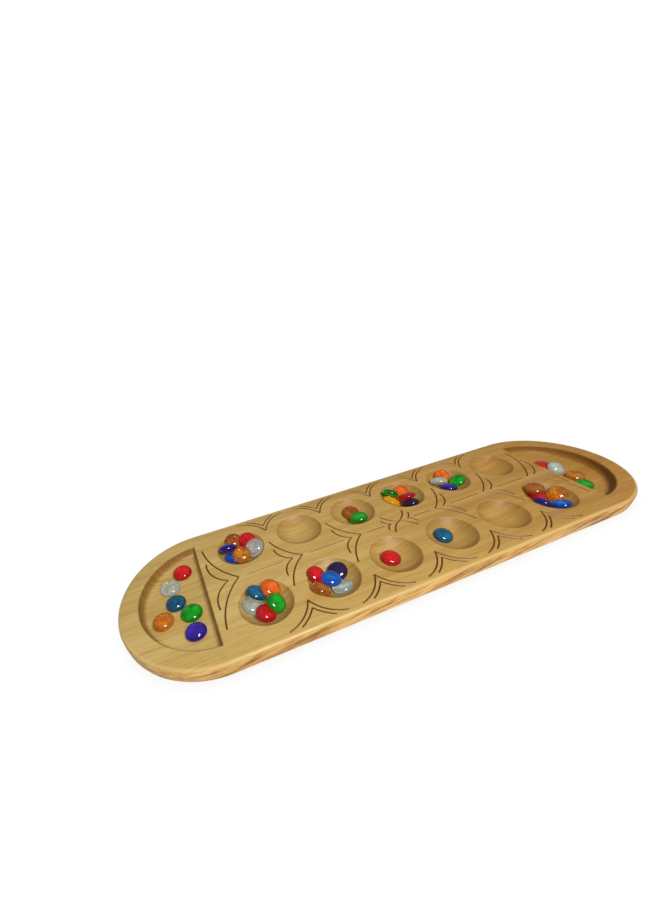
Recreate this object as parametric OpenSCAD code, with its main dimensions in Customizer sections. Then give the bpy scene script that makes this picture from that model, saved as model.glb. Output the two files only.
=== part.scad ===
// Mancala board: one piece of wood with twelve round pits, two stores and carved lines,
// and the glass stones that lie in it. Millimetres, +Z up, +X towards the right store.
// The origin is the centre of the board's underside.

/* [Board] */
// Length of the board over its two round ends
board_length = 475; // [470:5:500]
// Width of the board
board_width = 136; // [134:1:150]
// Thickness of the board
board_thickness = 11.5; // [11:0.5:18]
// Radius of the rounded top edge
top_edge_radius = 3.8; // [1:0.2:5]
// Radius of the broken bottom edge
bottom_edge_radius = 1; // [0.5:0.1:2]

/* [Pits] */
// Distance between neighbouring pits in a row
pit_pitch = 54; // [52:0.5:56]
// Distance from the middle line to each row of pits
row_offset = 32; // [30:0.5:34]
// Radius of a pit at the top face
pit_radius = 20.4; // [20:0.2:22]
// Depth of a pit
pit_depth = 8.5; // [7.5:0.5:9]
// Radius of the softened rim of pits and stores
rim_radius = 1.5; // [0.5:0.1:1.6]

/* [Stores] */
// Width of the rim between a store's round wall and the board's edge
store_margin = 15.5; // [12:0.5:18]
// Distance from the board's centre to the straight side of a store
store_side = 172.3; // [170:0.1:176]
// Depth of a store
store_depth = 8.5; // [7:0.5:9]
// Radius of the hollow between a store's walls and its floor
store_cove = 5; // [3:0.5:5.5]

/* [Carved lines] */
// Width of a carved line at the top face
line_width = 1.5; // [0.8:0.1:2]
// Depth of a carved line
line_depth = 0.8; // [0.4:0.1:1.2]

/* [Stones] */
// Usual diameter of a glass stone
stone_diameter = 15.8; // [14:0.1:15.8]
// Usual thickness of a glass stone
stone_thickness = 6.4; // [5:0.1:6.4]

/* [Hidden] */
overlap = 1;                      // how far a cutter stands out of the face it cuts
air = 0.03;                       // gap between a resting stone and what it rests on
round_steps = 6;                  // flats in each small rounded edge
bowl_steps = 14;                  // rings in the hollow of a pit
end_radius = board_width / 2;
end_centre = board_length / 2 - end_radius;
bowl_radius = (pow(pit_radius, 2) + pow(pit_depth, 2)) / (2 * pit_depth);
bowl_centre = board_thickness - pit_depth + bowl_radius;
rim_slope = asin(pit_radius / bowl_radius);
rim_run = rim_radius * tan(rim_slope / 2);
store_radius = end_radius - store_margin;
girdle_share = 0.36;              // height of a stone's widest ring, as a share of its thickness
belly_share = 0.55;               // radius of a stone's flat underside, as a share of its own
belly_steps = 5;                  // rings between a stone's underside and its widest ring
dome_steps = 7;                   // rings between a stone's widest ring and its top
dome_power = 0.85;                // below 1, a stone's top is fuller than half an ellipse
width_spread = 0.035;             // how much the stones differ in diameter, as a share
height_spread = 0.05;             // how much the stones differ in thickness, as a share
$fn = 96;

wood = "burlywood";

// Points along an arc, from one angle to another in equal steps
function arc(centre, radius, from, to, steps) = [
    for (i = [0 : steps])
        let (a = from + (to - from) * i / steps)
        centre + radius * [cos(a), sin(a)]
];

// ---- Board ----

// Right half of the board's cross-section
function half_section() = concat(
    [[0, 0]],
    arc([end_radius - bottom_edge_radius, bottom_edge_radius], bottom_edge_radius, -90, 0, 3),
    arc([end_radius - top_edge_radius, board_thickness - top_edge_radius],
        top_edge_radius, 0, 90, round_steps),
    [[0, board_thickness]]
);

module blank() {
    for (side = [0, 1]) mirror([side, 0, 0])
        translate([end_centre, 0, 0])
            rotate([0, 0, -90]) rotate_extrude(angle = 180) polygon(half_section());
    translate([-end_centre, 0, 0])
        rotate([90, 0, 90]) linear_extrude(height = 2 * end_centre) {
            polygon(half_section());
            mirror([1, 0]) polygon(half_section());
        }
}

// The hollow of one pit: part of a ball whose rim runs out softly into the top face
module pit_cutter() {
    last_slope = rim_slope - rim_run / bowl_radius * 180 / PI;
    crest = pit_radius + rim_run;
    rotate_extrude() polygon(concat(
        arc([0, bowl_radius - pit_depth], bowl_radius, -90, last_slope - 90, bowl_steps),
        arc([crest, -rim_radius], rim_radius, 90 + rim_slope, 97, 4),
        [[crest, 0.02], [crest, overlap], [0, overlap]]
    ));
}

// A store's wall, as [distance in from the outline, height over the top face]:
// soft rim, short upright wall, hollow down to the floor
function store_wall() = concat(
    [[-rim_radius, 0.02]],
    arc([-rim_radius, -rim_radius], rim_radius, 83, 0, 4),
    arc([store_cove, store_cove - store_depth], store_cove, 180, 270, round_steps)
);

// A store's hollow in section: its wall stands at the given distance from x = 0, its floor
// runs from there to x = 0
function store_section(wall_at) = concat(
    [[0, overlap], [wall_at + rim_radius, overlap]],
    [for (p = store_wall()) [wall_at - p.x, p.y]],
    [[0, -store_depth]]
);

// The hollow of the right store: a round hollow, cut off along the straight side by a trough
// that runs across the board
module store_cutter() intersection() {
    translate([end_centre, 0, 0]) rotate_extrude() polygon(store_section(store_radius));
    translate([store_side + 2 * store_radius, 0, 0]) rotate([90, 0, 180])
        linear_extrude(height = 3 * store_radius, center = true)
            polygon(store_section(2 * store_radius));
}

// Cross-section of a carved line: a V that opens at the top face
module line_section() {
    spread = line_width / 2 * (1 + overlap / line_depth);
    polygon([[0, -line_depth], [spread, overlap], [-spread, overlap]]);
}

// A carved line along X between two distances from the centre
module straight_line(from, to) {
    translate([from, 0, 0]) rotate([90, 0, 90]) linear_extrude(height = to - from) line_section();
}

// A carved line from p to q that bows to its left by the given amount, or to its right if negative
module bowed_line(p, q, bow) {
    chord = norm(q - p);
    radius = (pow(chord / 2, 2) + bow * bow) / (2 * abs(bow));
    left = [p.y - q.y, q.x - p.x] / chord;
    centre = (p + q) / 2 + left * (bow - sign(bow) * radius);
    start = atan2(p.y - centre.y, p.x - centre.x);
    turn = (atan2(q.y - centre.y, q.x - centre.x) - start + 900) % 360 - 180;
    translate([centre.x, centre.y, 0])
        rotate([0, 0, turn > 0 ? start : start + turn])
            rotate_extrude(angle = abs(turn)) translate([radius, 0]) line_section();
}

// The same lines mirrored to both sides of both middle lines
module in_four_quarters() {
    for (x = [0, 1], y = [0, 1]) mirror([x, 0, 0]) mirror([0, y, 0]) children();
}

// Half of a double chevron that straddles the middle line next to a pit gap
module middle_chevron(station, tip, flare) {
    bowed_line([station - 16, 0], [station + flare, tip], -0.11 * tip - 0.1);
    bowed_line([station - 7.6, 0], [station + flare, 0.588 * tip], -0.11 * tip);
}

// Half of a double chevron that points in from a long edge, at a pit gap
module edge_chevron() {
    bowed_line([0, 43.6], [21.6, 62.4], 3.6);
    bowed_line([0, 51], [12.7, 62.4], 1.1);
}

// Quarter of the crossing at the centre of the board
module crossing() {
    bowed_line([0, 0], [11.3, 11.9], -1.6);
    bowed_line([8.2, -0.3], [14, 6.8], -1.1);
}

module carved_lines() {
    in_four_quarters() {
        middle_chevron(pit_pitch, 27.5, 3);
        middle_chevron(2 * pit_pitch, 27.5, 3);
        middle_chevron(3 * pit_pitch, 43, 4.6);
        crossing();
    }
    for (side = [0, 1]) mirror([side, 0, 0]) {
        straight_line(15, pit_pitch - 21.6);
        for (gap = [1, 2]) straight_line(gap * pit_pitch + 1, (gap + 1) * pit_pitch - 23);
    }
    for (gap = [-2 : 2]) translate([gap * pit_pitch, 0, 0]) in_four_quarters() edge_chevron();
}

module board() {
    color(wood) difference() {
        blank();
        translate([0, 0, board_thickness]) {
            for (place = pits) translate([place.x, place.y, 0]) pit_cutter();
            for (side = [0, 1]) mirror([side, 0, 0]) store_cutter();
            carved_lines();
        }
    }
}

// Centres of the pits
pits = [for (row = [-1, 1], n = [0 : 5]) [(n - 2.5) * pit_pitch, row * row_offset]];

// ---- Stones ----

// Half of a stone's cross-section: flat underside, round belly, widest ring, domed top
function stone_section(size) =
    let (r = size.x / 2, girdle = girdle_share * size.y)
    concat(
        [[0, 0], [belly_share * r, 0]],
        [for (i = [1 : belly_steps])
            let (a = 90 * i / belly_steps - 90)
            [r * (belly_share + (1 - belly_share) * cos(a)), girdle * (1 + sin(a))]],
        [for (i = [1 : dome_steps])
            let (a = 90 * i / dome_steps)
            [i == dome_steps ? 0 : r * pow(cos(a), dome_power), girdle + (size.y - girdle) * sin(a)]]
    );

// Diameter and thickness of stone number i: no two stones are quite the same
function stone_size(i) = [
    stone_diameter * (1 + width_spread * sin(137 * i)),
    stone_thickness * (1 + height_spread * sin(211 * i + 40))
];

// How far below the centre of a pit's ball the underside of a stone comes to rest
function resting_drop(size) = min([
    for (p = stone_section(size)) p.y + sqrt(pow(bowl_radius - air, 2) - p.x * p.x)
]);

// A stone that lies against the round hollow of a pit, at x, y from the pit's centre
module in_the_hollow(x, y, size) {
    drop = resting_drop(size);
    slope = asin(norm([x, y]) / (drop - girdle_share * size.y));
    translate([0, 0, bowl_radius - pit_depth])
        rotate([0, 0, atan2(y, x)]) rotate([0, -slope, 0])
            translate([0, 0, -drop]) children();
}

// A stone that lies on others: its widest ring has its centre at x, y, and it leans over
module on_the_pile(x, y, height, towards, lean, size) {
    girdle = girdle_share * size.y;
    translate([x, y, height + girdle])
        rotate([0, 0, towards]) rotate([0, lean, 0])
            translate([0, 0, -girdle]) children();
}

// What each hollow holds, lowest stone first. A stone that lies on the wood is [glass, x, y].
// A stone that lies on others is [glass, x, y, height over the floor, direction of lean, lean].
// Places are from a pit's centre. In a store they are from the middle of its straight side.
hollows = [
    ["left", [["red", -14.5, 31.5], ["clear", -26, 19], ["teal", -24, 1], ["green", -14.5, -13],
              ["amber", -35, -12], ["purple", -14.5, -30.5]]],
    ["near1", [["clear", -9, 4], ["red", -3, -8, 4, 0, 20], ["teal", -3.5, 10, 6.8, 10, 30],
               ["orange", 7, 8, 7.8, -30, 35], ["green", 6, -6, 8.2, -30, 40]]],
    ["near2", [["plum", 6.5, 6.5], ["red", -10.5, 8.5], ["clear", 2.5, -8.5], ["amber", -14, -6.5],
               ["blue", -4, -3.5, 9, 0, 10]]],
    ["near3", [["red", -2.5, 1.5]]],
    ["near4", [["teal", -3.5, 4]]],
    ["near5", []],
    ["near6", [["red", -3.5, 7.5], ["amber", 11, 1.5], ["blue", 0.5, -10.5], ["purple", -13.5, -4],
               ["brown", -6.5, 11.5, 8.6, 130, 5]]],
    ["far1", [["blue", -8.5, -6.5], ["brown", -3, 12.5], ["red", 8, 6, 6.1, -90, 25],
              ["purple", -10.5, 1, 8.2, 80, 40], ["clear", 10, -7, 7.6, -150, 30],
              ["amber", -2, -12, 8.8, -90, 15]]],
    ["far2", []],
    ["far3", [["brown", 1, 4], ["green", 1, -10, 5, 90, 10]]],
    ["far4", [["orange", 5.5, 8], ["yellow", -12.5, -2], ["plum", 0.5, -13],
              ["green", -8.5, 6, 6.4, 40, 40], ["red", 0.5, -6.5, 7.4, 90, 35]]],
    ["far5", [["orange", 3, 11], ["purple", -4, -7], ["clear", -9, 2, 5.6, 70, 25],
              ["green", 10.5, -2.5]]],
    ["far6", []],
    ["right", [["red", 11, 12.5], ["clear", 13, 0.5, 2.9, -90, 22], ["amber", 19, -15.5],
               ["green", 10, -29]]]
];
pit_count = len(pits);

// Every stone as [name, number, place of its hollow, whether the hollow is a pit, its row above]
stones = [
    for (h = [0 : len(hollows) - 1], s = hollows[h][1])
        let (is_pit = h > 0 && h <= pit_count, side = h == 0 ? -1 : 1)
        [str("stone_", hollows[h][0], "_", s[0]), is_pit ? pits[h - 1] : [side * store_side, 0], is_pit, s]
];

glass = [
    ["red", "crimson"], ["clear", "gainsboro"], ["teal", "darkcyan"], ["green", "seagreen"],
    ["amber", "goldenrod"], ["orange", "darkorange"], ["purple", "indigo"], ["plum", "midnightblue"],
    ["blue", "dodgerblue"], ["brown", "saddlebrown"], ["yellow", "gold"]
];

// The display colour of a kind of glass
function tint(name) = [for (g = glass) if (g[0] == name) g[1]][0];

module stone(number) {
    place = stones[number][1];
    is_pit = stones[number][2];
    s = stones[number][3];
    size = stone_size(number);
    color(tint(s[0])) translate([place.x, place.y, board_thickness])
        if (len(s) > 3)
            translate([0, 0, is_pit ? -pit_depth : -store_depth])
                on_the_pile(s[1], s[2], s[3], s[4], s[5], size) nugget(size);
        else if (is_pit)
            in_the_hollow(s[1], s[2], size) nugget(size);
        else
            translate([s[1], s[2], air - store_depth]) nugget(size);
}

// A glass stone in its own frame, underside at the origin
module nugget(size) {
    rotate_extrude() polygon(stone_section(size));
}

board();
for (i = [0 : len(stones) - 1]) stone(i);
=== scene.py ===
"""Looks for the mancala board: an oiled wooden board and the glass stones that lie in it.

Everything is in metres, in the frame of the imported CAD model: +X along the board towards the
right store, +Y towards the far row of pits, +Z up, origin at the middle of the underside.
"""

import math

import bpy
import numpy as np
from mathutils import Matrix, Vector


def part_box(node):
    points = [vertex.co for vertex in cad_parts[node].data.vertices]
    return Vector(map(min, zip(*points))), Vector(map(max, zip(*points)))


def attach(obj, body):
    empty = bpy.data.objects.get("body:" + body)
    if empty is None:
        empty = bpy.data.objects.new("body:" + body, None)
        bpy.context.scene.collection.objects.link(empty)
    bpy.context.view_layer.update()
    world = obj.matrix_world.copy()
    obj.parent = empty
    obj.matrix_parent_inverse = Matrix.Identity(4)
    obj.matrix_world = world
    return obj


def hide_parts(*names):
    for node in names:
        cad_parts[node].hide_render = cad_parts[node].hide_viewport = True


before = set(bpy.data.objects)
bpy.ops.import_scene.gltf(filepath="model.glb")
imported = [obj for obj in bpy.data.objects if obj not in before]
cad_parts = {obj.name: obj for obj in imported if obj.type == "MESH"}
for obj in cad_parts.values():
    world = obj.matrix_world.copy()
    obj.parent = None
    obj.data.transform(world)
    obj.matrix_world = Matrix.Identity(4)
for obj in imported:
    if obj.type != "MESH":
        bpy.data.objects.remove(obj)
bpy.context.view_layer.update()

MM = 0.001
BOARD = "board"
BOARD_LOW, BOARD_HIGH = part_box(BOARD)
TOP = BOARD_HIGH.z
LENGTH = BOARD_HIGH.x - BOARD_LOW.x
WIDTH = BOARD_HIGH.y - BOARD_LOW.y


# ---------------------------------------------------------------- shader building blocks

class Shader:
    """A node material under construction: add() makes a node, link() joins two sockets."""

    def __init__(self, name):
        self.material = bpy.data.materials.new(name)
        self.material.use_nodes = True
        self.tree = self.material.node_tree
        self.tree.nodes.clear()
        self.output = self.add("ShaderNodeOutputMaterial")

    def add(self, kind, inputs=None, **settings):
        """A node with the given settings. Inputs are values or other nodes' outputs."""
        node = self.tree.nodes.new(kind)
        for key, value in settings.items():
            setattr(node, key, value)
        for key, value in (inputs or {}).items():
            self.set(node.inputs[key], value)
        return node

    def set(self, socket, value):
        if isinstance(value, bpy.types.NodeSocket):
            self.tree.links.new(value, socket)
        else:
            socket.default_value = value

    def math(self, operation, a, b=0.0, c=0.0, clamp=False):
        node = self.add("ShaderNodeMath", {0: a, 1: b, 2: c}, operation=operation, use_clamp=clamp)
        return node.outputs[0]

    def vector(self, operation, a, b):
        node = self.add("ShaderNodeVectorMath", {0: a, 1: b}, operation=operation)
        return node.outputs["Vector"]

    def noise(self, vector, scale, detail=2.0, roughness=0.5):
        """Smooth noise around 0.5 at a scale of so many waves a metre."""
        node = self.add("ShaderNodeTexNoise", {
            "Vector": vector, "Scale": scale, "Detail": detail, "Roughness": roughness})
        return node.outputs["Fac"]

    def stretch(self, vector, x, y, z):
        """The same space with its axes scaled: noise in it runs long along the small ones."""
        return self.vector("MULTIPLY", vector, (x, y, z))

    def ramp(self, factor, stops):
        """A colour or grey curve through (position, colour) stops."""
        node = self.add("ShaderNodeValToRGB", {"Fac": factor})
        elements = node.color_ramp.elements
        while len(elements) > 1:
            elements.remove(elements[-1])
        for i, (position, colour) in enumerate(stops):
            element = elements[0] if i == 0 else elements.new(position)
            element.position = position
            element.color = grey(colour) if isinstance(colour, (int, float)) else (*colour, 1)
        return node.outputs["Color"]

    def mix(self, factor, a, b, blend="MIX"):
        node = self.add("ShaderNodeMix", data_type="RGBA", blend_type=blend)
        self.set(node.inputs["Factor"], factor)
        self.set(node.inputs["A"], colour4(a))
        self.set(node.inputs["B"], colour4(b))
        return node.outputs["Result"]

    def map_range(self, value, low, high, to_low=0.0, to_high=1.0):
        node = self.add("ShaderNodeMapRange", {
            "Value": value, "From Min": low, "From Max": high,
            "To Min": to_low, "To Max": to_high})
        return node.outputs["Result"]

    def attribute(self, name):
        return self.add("ShaderNodeAttribute", attribute_name=name).outputs["Fac"]

    def times(self, *factors):
        product = factors[0]
        for factor in factors[1:]:
            product = self.math("MULTIPLY", product, factor)
        return product

    def finish(self, surface):
        self.set(self.output.inputs["Surface"], surface)
        return self.material


def grey(value):
    return (value, value, value, 1)


def colour4(value):
    return (*value, 1) if isinstance(value, tuple) and len(value) == 3 else value


def srgb(r, g, b):
    """A colour given as 0 to 255 screen values, as Blender's linear values."""
    def linear(c):
        c /= 255
        return c / 12.92 if c <= 0.04045 else ((c + 0.055) / 1.055) ** 2.4
    return (linear(r), linear(g), linear(b))


# ---------------------------------------------------------------- wood

WOOD_PALE = srgb(206, 178, 111)
WOOD_MAIN = srgb(192, 161, 92)
WOOD_DARK = srgb(160, 123, 58)
WOOD_BAND = srgb(176, 142, 76)
PORE_AND_SHADE_BROWN = srgb(132, 88, 38)
WALL_SHADE_BROWN = srgb(124, 82, 34)
RUBBED_EDGE_HIGHLIGHT = srgb(226, 192, 130)
RIGHT_END_SHADE_TINT = srgb(226, 196, 152)
SLOPE_SHADE_TINT = srgb(218, 200, 170)
SIDE_PALE = srgb(228, 188, 116)
SIDE_MAIN = srgb(190, 138, 68)
SIDE_DARK = srgb(142, 88, 34)
SIDE_STREAK = srgb(82, 46, 14)
CARVED = srgb(144, 100, 50)
CARVED_DEEP = srgb(88, 52, 18)
CARVED_MARK = "carved"
RIM_SHADE_MARK = "ring"
LINE_DEPTH = 0.8 * MM
EDGE_START = WIDTH / 2 - 4 * MM        # where the top face begins to round over
STORE_START = 0.36 * LENGTH            # how far out the stores' straight sides are
STORE_FLOOR = TOP - 8.4 * MM           # just over the stores' floors


def streaks(s, place, width, length, height, detail, roughness=0.6):
    """Noise in long streaks along the board, with the given typical sizes."""
    return s.noise(s.stretch(place, 1 / length, 1 / width, 1 / height), 1.0, detail, roughness)


def rim_distance(s, place):
    """How far a place lies from the board's spine between the two end centres."""
    xyz = s.add("ShaderNodeSeparateXYZ", {"Vector": place})
    spine = (LENGTH - WIDTH) / 2
    past = s.math("MAXIMUM", s.math("SUBTRACT", s.math("ABSOLUTE", xyz.outputs["X"]), spine), 0.0)
    y = xyz.outputs["Y"]
    return s.math("SQRT", s.math("ADD", s.math("MULTIPLY", past, past), s.math("MULTIPLY", y, y)))


def flat_tone(s, bent, place, grains):
    """Straight grain: broad bands, growth lines and fine pores, all running along the board."""
    bands = streaks(s, bent, 13 * MM, 320 * MM, 60 * MM, 2.0)
    pores = streaks(s, bent, 0.7 * MM, 9 * MM, 2.5 * MM, 1.0)
    cloud = s.noise(s.stretch(place, 12.0, 30.0, 30.0), 1.0, 3.0)
    lines, fibre = grains
    tone = s.ramp(s.map_range(bands, 0.30, 0.70),
                  [(0.0, WOOD_PALE), (0.6, WOOD_MAIN), (1.0, WOOD_BAND)])
    tone = s.mix(s.map_range(lines, 0.48, 0.70, 0.0, 0.50), tone, WOOD_DARK)
    tone = s.mix(s.map_range(lines, 0.50, 0.30, 0.0, 0.30), tone, WOOD_PALE)
    tone = s.mix(s.map_range(fibre, 0.46, 0.72, 0.0, 0.50), tone, WOOD_DARK)
    tone = s.mix(s.map_range(pores, 0.66, 0.80, 0.0, 0.35), tone, PORE_AND_SHADE_BROWN)
    return s.mix(s.map_range(cloud, 0.35, 0.75, 0.0, 0.25), tone, WOOD_MAIN), pores


def hollow_tone(s, tone, lines, x, z, up, inside):
    """The pits' slopes show cross grain under a painted shade that darkens them as they tilt, and
    the stores' round walls get a darker painted shade still.
    """
    below = s.map_range(z, TOP - 0.1 * MM, TOP - 0.6 * MM)
    # painted shade: tilted slopes inside the hollows are tinted darker; the cross grain on them is
    # the wood's own
    slope_grain_and_shade = s.times(inside, below, s.map_range(up, 0.97, 0.70))
    lined = s.mix(s.map_range(lines, 0.40, 0.62, 0.0, 0.8), tone, WOOD_DARK)
    tone = s.mix(s.times(slope_grain_and_shade, 0.8), tone, s.mix(1.0, lined, SLOPE_SHADE_TINT, "MULTIPLY"))
    # painted shade: the stores' round walls, between rim and floor, are darkened towards a deep
    # brown
    round_wall = s.map_range(s.math("ABSOLUTE", x), STORE_START + 3.5 * MM, STORE_START + 7 * MM)
    wall_shade = s.times(
        s.map_range(up, 0.98, 0.72), s.map_range(z, TOP - 0.02 * MM, TOP - 0.22 * MM),
        s.map_range(z, STORE_FLOOR, STORE_FLOOR + 1.9 * MM), round_wall, inside)
    return s.mix(s.times(wall_shade, 0.45), tone, WALL_SHADE_BROWN)


def side_tone(s, tone, side, xyz):
    """The outer side: darker, with rough streaks that slant along it. Also gives their noise."""
    slanting = s.math("ADD", xyz["Z"], s.math("MULTIPLY", xyz["X"], -0.16))
    place = s.add("ShaderNodeCombineXYZ", {"X": xyz["X"], "Y": xyz["Y"], "Z": slanting})
    rough_grain = streaks(s, place.outputs["Vector"], 9 * MM, 30 * MM, 2.4 * MM, 3.0, 0.65)
    streaked = s.ramp(s.map_range(rough_grain, 0.34, 0.70), [
        (0.0, SIDE_PALE), (0.45, SIDE_MAIN), (0.75, SIDE_DARK), (1.0, SIDE_STREAK)])
    return s.mix(s.times(side, 0.85), tone, streaked), rough_grain


def carve(s, tone, normal_x, z):
    """The carved lines, darkest at the bottom; painted shade makes them darker on lines running
    across the board, whose walls face along it, and fainter on lines running along it.
    """
    depth = s.math("SUBTRACT", TOP, z)
    cut_tone = s.mix(s.map_range(depth, 0.15 * MM, 0.8 * LINE_DEPTH), CARVED, CARVED_DEEP)
    wall_facing_shade = s.map_range(s.math("ABSOLUTE", normal_x), 0.10, 0.45, 0.62, 1.0)
    cut = s.times(s.map_range(s.attribute(CARVED_MARK), 0.4, 0.6),
                  s.map_range(depth, 0.0, 0.22 * MM), wall_facing_shade)
    return s.mix(cut, tone, cut_tone)


def wood_material():
    s = Shader("oiled_wood")
    place = s.add("ShaderNodeTexCoord").outputs["Object"]
    xyz = s.add("ShaderNodeSeparateXYZ", {"Vector": place}).outputs
    normal = s.add("ShaderNodeNewGeometry").outputs["True Normal"]
    facing = s.add("ShaderNodeSeparateXYZ", {"Vector": normal}).outputs
    up = facing["Z"]
    warp = s.noise(s.stretch(place, 6.0, 22.0, 22.0), 1.0, 2.0)
    drift = s.add("ShaderNodeCombineXYZ", {"Y": s.math("MULTIPLY", warp, 7 * MM)})
    bent = s.vector("ADD", place, drift.outputs["Vector"])
    lines = streaks(s, bent, 1.7 * MM, 110 * MM, 16 * MM, 3.0, 0.66)
    fibre = streaks(s, bent, 0.55 * MM, 15 * MM, 3.0 * MM, 2.0)
    tone, pores = flat_tone(s, bent, place, (lines, fibre))

    # painted shade: the wood is darkened and browned towards the right end, where less light falls
    right_end_shade = s.mix(1.0, tone, RIGHT_END_SHADE_TINT, "MULTIPLY")
    tone = s.mix(s.map_range(xyz["X"], -0.35 * LENGTH, 0.5 * LENGTH), tone, right_end_shade)

    outside = s.map_range(rim_distance(s, place), EDGE_START, EDGE_START + 2.6 * MM)
    inside = s.math("SUBTRACT", 1.0, outside)
    tone = hollow_tone(s, tone, lines, xyz["X"], xyz["Z"], up, inside)
    side = s.times(outside, s.map_range(s.math("ABSOLUTE", up), 0.72, 0.30))
    tone, rough_grain = side_tone(s, tone, side, xyz)

    # painted highlight and wear: the rounded upper edge is lightened and made a little less rough
    painted_edge = s.times(outside, s.map_range(up, 0.55, 0.85), s.map_range(up, 0.998, 0.96))
    tone = s.mix(s.times(painted_edge, 0.5), tone, RUBBED_EDGE_HIGHLIGHT)

    # painted shade: darker where ambient occlusion finds the surface hemmed in, in the hollows and
    # right under their rims
    cavity_shade = s.add("ShaderNodeAmbientOcclusion", samples=6, only_local=True,
                   inputs={"Distance": 4 * MM}).outputs["AO"]
    over_floor = s.map_range(xyz["Z"], 2 * MM, 3 * MM)
    tone = s.mix(s.times(s.map_range(cavity_shade, 0.80, 0.35), over_floor, 0.45), tone, PORE_AND_SHADE_BROWN)
    tone = carve(s, tone, facing["X"], xyz["Z"])

    rough = s.math("ADD", 0.43, s.map_range(fibre, 0.3, 0.7, -0.05, 0.07))
    rough = s.math("ADD", rough, s.times(side, 0.12))
    rough = s.math("SUBTRACT", rough, s.times(painted_edge, 0.08))
    relief = s.math("ADD", s.times(fibre, 0.7), s.times(lines, 0.8))
    relief = s.math("SUBTRACT", relief, s.map_range(pores, 0.62, 0.80, 0.0, 0.9))
    relief = s.math("SUBTRACT", relief, s.times(side, rough_grain, 2.2))
    bump = s.add("ShaderNodeBump", {"Strength": 0.22, "Distance": 0.15 * MM, "Height": relief})
    wood = s.add("ShaderNodeBsdfPrincipled", {
        "Base Color": tone, "Roughness": rough, "Normal": bump.outputs["Normal"],
        "Specular IOR Level": 0.26, "Coat Weight": 0.03, "Coat Roughness": 0.35})
    return s.finish(wood.outputs["BSDF"])


# ---------------------------------------------------------------- glass

# each glass: its colour where light comes through, its darker colour, used in its swirls and as
# painted shade towards its rim, and how clear it is
GLASS = {
    "red": (srgb(240, 30, 40), srgb(104, 0, 6), 0.80),
    "clear": (srgb(206, 212, 204), srgb(128, 138, 132), 0.92),
    "teal": (srgb(38, 136, 178), srgb(2, 34, 52), 0.86),
    "green": (srgb(20, 206, 40), srgb(0, 62, 8), 0.88),
    "amber": (srgb(238, 164, 34), srgb(112, 58, 2), 0.93),
    "orange": (srgb(250, 142, 24), srgb(150, 58, 2), 0.84),
    "purple": (srgb(82, 50, 206), srgb(16, 2, 62), 0.84),
    "plum": (srgb(62, 30, 102), srgb(16, 6, 30), 0.80),
    "blue": (srgb(30, 134, 240), srgb(2, 34, 104), 0.86),
    "brown": (srgb(204, 128, 36), srgb(92, 44, 6), 0.93),
    "yellow": (srgb(252, 208, 40), srgb(178, 118, 4), 0.86),
}


def glass_material(kind):
    lit, deep_shade, clarity = GLASS[kind]
    s = Shader("glass_" + kind)
    place = s.add("ShaderNodeTexCoord").outputs["Object"]
    swirl = s.noise(s.stretch(place, 190.0, 190.0, 260.0), 1.0, 3.0, 0.55)
    seeds = s.noise(place, 900.0, 1.0)
    facing = s.add("ShaderNodeLayerWeight", {"Blend": 0.5}).outputs["Facing"]
    clouded = s.map_range(swirl, 0.36, 0.66)
    body = s.mix(clouded, lit, tuple(0.72 * a + 0.28 * b for a, b in zip(lit, deep_shade)))
    # painted shade: the glass darkens towards its rim and where it is seen edge-on
    ring = s.map_range(s.attribute(RIM_SHADE_MARK), 0.55, 0.97)
    painted_edge = s.math("MAXIMUM", s.map_range(facing, 0.30, 0.80), s.times(ring, 0.85))
    body = s.mix(painted_edge, body, deep_shade)
    bump = s.add("ShaderNodeBump", {
        "Strength": 0.10, "Distance": 0.25 * MM,
        "Height": s.math("ADD", swirl, s.map_range(seeds, 0.68, 0.80, 0.0, 0.35))})
    # painted glow: the glass emits its own colour, deeper towards its rim, as if lit from within
    painted_glow = s.mix(s.math("MAXIMUM", painted_edge, clouded), lit, deep_shade)
    glass = s.add("ShaderNodeBsdfPrincipled", {
        "Base Color": body, "Roughness": s.map_range(seeds, 0.4, 0.8, 0.02, 0.07),
        "IOR": 1.5, "Normal": bump.outputs["Normal"], "Transmission Weight": clarity,
        "Emission Color": painted_glow, "Emission Strength": 0.26})
    return s.finish(glass.outputs["BSDF"])


# ---------------------------------------------------------------- stones

def axis_of(points):
    """A turned body's axis from its points: the direction in which they spread least."""
    centre = points.mean(0)
    spread = np.linalg.eigh(np.cov((points - centre).T))
    return centre, spread[1][:, 0]


def stone_frame(node):
    """(origin on the flat underside, rotation, diameter, thickness) of a CAD stone."""
    points = np.unique(np.round([v.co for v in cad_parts[node].data.vertices], 7), axis=0)
    centre, axis = axis_of(points)
    along = (points - centre) @ axis
    out = np.linalg.norm(points - centre - np.outer(along, axis), axis=1)
    low_reach = out[along < along.min() + 0.3 * MM].max()
    high_reach = out[along > along.max() - 0.3 * MM].max()
    if low_reach < high_reach:
        axis, along = -axis, -along
    origin = centre + axis * along.min()
    turn = Vector((0, 0, 1)).rotation_difference(Vector(axis)).to_matrix().to_4x4()
    return origin, turn, 2 * out.max(), along.max() - along.min()


GIRDLE_SHARE = 0.36    # height of the widest ring, as a share of the thickness
BELLY_SHARE = 0.55     # radius of the flat underside, as a share of the stone's
DOME_POWER = 0.85      # below 1, the top is fuller than half an ellipse
STONE_SHRINK = 0.985   # a nugget's size against its CAD solid's, to keep nuggets apart
STONE_SIDES = 64


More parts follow.
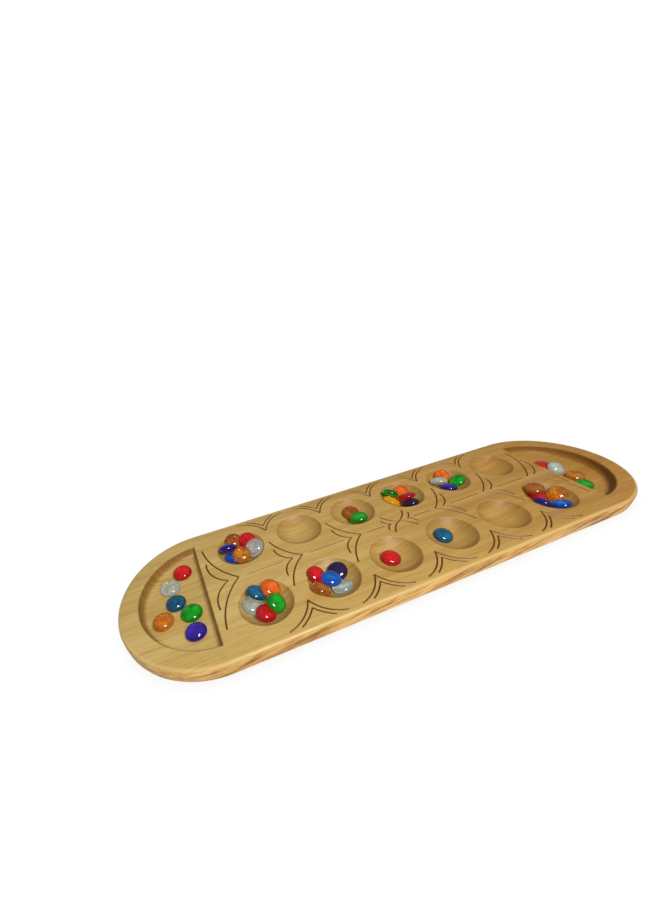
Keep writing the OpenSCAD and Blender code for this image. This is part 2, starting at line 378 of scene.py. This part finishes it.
def stone_profile(radius, thickness, t):
    """(distance from the axis, height) on a stone's outline, for t from 0 at the underside's
    centre through 1 at its rim and 2 at the widest ring to 3 at the top."""
    girdle = GIRDLE_SHARE * thickness
    if t <= 1:
        return radius * BELLY_SHARE * t, 0.03 * thickness * (1 - t * t)
    if t <= 2:
        a = math.radians(90 * (t - 2))
        return radius * (BELLY_SHARE + (1 - BELLY_SHARE) * math.cos(a)), girdle * (1 + math.sin(a))
    a = math.radians(90 * (t - 2))
    return (radius * max(math.cos(a), 0) ** DOME_POWER,
            girdle + (thickness - girdle) * math.sin(a))


def build_stone(name, node, seed):
    """A pressed glass nugget: a smooth turned form, slightly out of round."""
    origin, turn, diameter, thickness = stone_frame(node)
    rng = np.random.default_rng(seed)
    phase = rng.uniform(0, 2 * math.pi, 4)
    sides = STONE_SIDES
    rings = [0.0, 0.35, 0.7, 0.9] + list(np.linspace(1, 2, 12)) + list(np.linspace(2, 3, 26)[1:])
    verts, faces = [], []
    for t in rings:
        r, z = stone_profile(diameter / 2 * STONE_SHRINK, thickness * STONE_SHRINK, t)
        if r < 1e-7:
            verts.append((0, 0, z))
            continue
        for k in range(sides):
            a = 2 * math.pi * k / sides
            wobble = 1 + 0.010 * math.sin(2 * a + phase[0]) + 0.005 * math.sin(3 * a + phase[1])
            lift = 1 + 0.012 * math.sin(a + phase[2]) * (r / diameter)
            verts.append((r * wobble * math.cos(a), r * wobble * math.sin(a), z * lift))
    how_far_out = [2 * math.hypot(x, y) / diameter for x, y, z in verts]
    first = 1
    for k in range(sides):
        faces.append((0, first + (k + 1) % sides, first + k))
    for ring in range(len(rings) - 3):
        a0, b0 = first + ring * sides, first + (ring + 1) * sides
        for k in range(sides):
            n = (k + 1) % sides
            faces.append((a0 + k, a0 + n, b0 + n, b0 + k))
    last, tip = first + (len(rings) - 3) * sides, len(verts) - 1
    for k in range(sides):
        faces.append((last + k, last + (k + 1) % sides, tip))
    mesh = bpy.data.meshes.new(name)
    mesh.from_pydata(verts, [], faces)
    mesh.polygons.foreach_set("use_smooth", [True] * len(mesh.polygons))
    # how far out from the axis each point lies, used to paint shade at the stone's rim
    mesh.attributes.new(RIM_SHADE_MARK, "FLOAT", "POINT").data.foreach_set("value", how_far_out)
    mesh.transform(Matrix.Translation(Vector(origin)) @ turn)
    mesh.update()
    piece = bpy.data.objects.new(name, mesh)
    bpy.context.scene.collection.objects.link(piece)
    return piece


def build_stones():
    materials = {kind: glass_material(kind) for kind in GLASS}
    stones = sorted(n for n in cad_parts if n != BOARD)
    for seed, node in enumerate(stones):
        kind = node.split("_")[-1]
        piece = build_stone(node.replace("stone", "nugget"), node, seed)
        piece.data.materials.append(materials[kind])
        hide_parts(node)
        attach(piece, node)


# ---------------------------------------------------------------- board

def mark_carved(mesh):
    """Marks the faces that belong to the carved lines: they reach down to the lines' depth
    within the top layer, and nothing else does."""
    places = np.empty(len(mesh.vertices) * 3)
    mesh.vertices.foreach_get("co", places)
    depth = TOP - places.reshape(-1, 3)[:, 2]
    carved = mesh.attributes.new(CARVED_MARK, "FLOAT", "FACE")
    marks = []
    for face in mesh.polygons:
        deepest = max(depth[v] for v in face.vertices)
        marks.append(1.0 if abs(deepest - LINE_DEPTH) < 0.03 * MM else 0.0)
    carved.data.foreach_set("value", marks)


def dress_board():
    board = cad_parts[BOARD]
    board.data.materials.clear()
    board.data.materials.append(wood_material())
    mark_carved(board.data)
    board.data.polygons.foreach_set("use_smooth", [True] * len(board.data.polygons))
    weld = board.modifiers.new("weld", "WELD")
    weld.merge_threshold = 0.001 * MM
    split = board.modifiers.new("creases", "EDGE_SPLIT")
    split.split_angle = math.radians(32)
    normals = board.modifiers.new("normals", "WEIGHTED_NORMAL")
    normals.mode = "FACE_AREA_WITH_ANGLE"
    normals.weight = 50


# ---------------------------------------------------------------- floor, light and camera

FLOOR_REACH = 6.0


def floor():
    size = FLOOR_REACH
    mesh = bpy.data.meshes.new("floor")
    mesh.from_pydata([(-size, -size, 0), (size, -size, 0), (size, size, 0), (-size, size, 0)],
                     [], [(0, 1, 2, 3)])
    piece = bpy.data.objects.new("floor", mesh)
    bpy.context.scene.collection.objects.link(piece)
    s = Shader("pale_floor")
    seen = s.add("ShaderNodeLightPath").outputs["Is Camera Ray"]
    # painted shadow: the white the camera sees is darkened where ambient occlusion finds the board
    # close by
    painted_contact_shadow = s.add("ShaderNodeAmbientOcclusion", samples=12,
                 inputs={"Distance": 14 * MM}).outputs["AO"]
    white = s.add("ShaderNodeEmission", {"Color": s.ramp(painted_contact_shadow, [
        (0.0, srgb(206, 196, 180)), (0.5, srgb(247, 246, 243)), (0.85, 1.0)])})
    paper = s.add("ShaderNodeBsdfDiffuse", {"Color": (0.80, 0.80, 0.80, 1)})
    both = s.add("ShaderNodeMixShader", {
        0: seen, 1: paper.outputs["BSDF"], 2: white.outputs["Emission"]})
    piece.data.materials.append(s.finish(both.outputs["Shader"]))


STUDIO_FILL = 0.30
KEY_POWER = 7.6
KEY_PLACE = (0.02, -0.50, 0.72)
KEY_SIZE = 0.36


def area_light(name, place, target, size, power):
    light = bpy.data.lights.new(name, "AREA")
    light.shape = "DISK"
    light.size = size
    light.energy = power
    lamp = bpy.data.objects.new(name, light)
    lamp.location = place
    lamp.rotation_euler = (Vector(target) - Vector(place)).to_track_quat("-Z", "Y").to_euler()
    bpy.context.scene.collection.objects.link(lamp)


def lights():
    """A studio that the camera sees as plain white, and a soft lamp over the near side."""
    world = bpy.data.worlds.new("studio")
    world.use_nodes = True
    tree = world.node_tree
    background = tree.nodes["Background"]
    background.inputs["Color"].default_value = (1, 1, 1, 1)
    path = tree.nodes.new("ShaderNodeLightPath")
    strength = tree.nodes.new("ShaderNodeMapRange")
    strength.inputs["To Min"].default_value = STUDIO_FILL
    strength.inputs["To Max"].default_value = 1.0
    tree.links.new(path.outputs["Is Camera Ray"], strength.inputs["Value"])
    tree.links.new(strength.outputs["Result"], background.inputs["Strength"])
    bpy.context.scene.world = world
    area_light("key", KEY_PLACE, (0, 0, 0), KEY_SIZE, KEY_POWER)
    bpy.context.scene.view_settings.view_transform = "Standard"


# the camera stands before the near left of the board and looks down and to the right
CAMERA_PLACE = (-166 * MM, -185 * MM, TOP + 188.1 * MM)
CAMERA_RIGHT = (0.92747, -0.35967, -0.10221)
CAMERA_FORWARD = (0.22084, 0.74751, -0.62647)
LENS_MM = 13.5
SHIFT = (0.06, 0.0889)


def camera():
    data = bpy.data.cameras.new("camera")
    data.lens = LENS_MM
    data.shift_x, data.shift_y = SHIFT
    data.clip_start = 0.01
    eye = bpy.data.objects.new("camera", data)
    right, forward = Vector(CAMERA_RIGHT).normalized(), Vector(CAMERA_FORWARD).normalized()
    up = right.cross(forward).normalized()
    turn = Matrix((right, up, -forward)).transposed().to_4x4()
    eye.matrix_world = Matrix.Translation(CAMERA_PLACE) @ turn
    bpy.context.scene.collection.objects.link(eye)
    bpy.context.scene.camera = eye


dress_board()
build_stones()
floor()
lights()
camera()
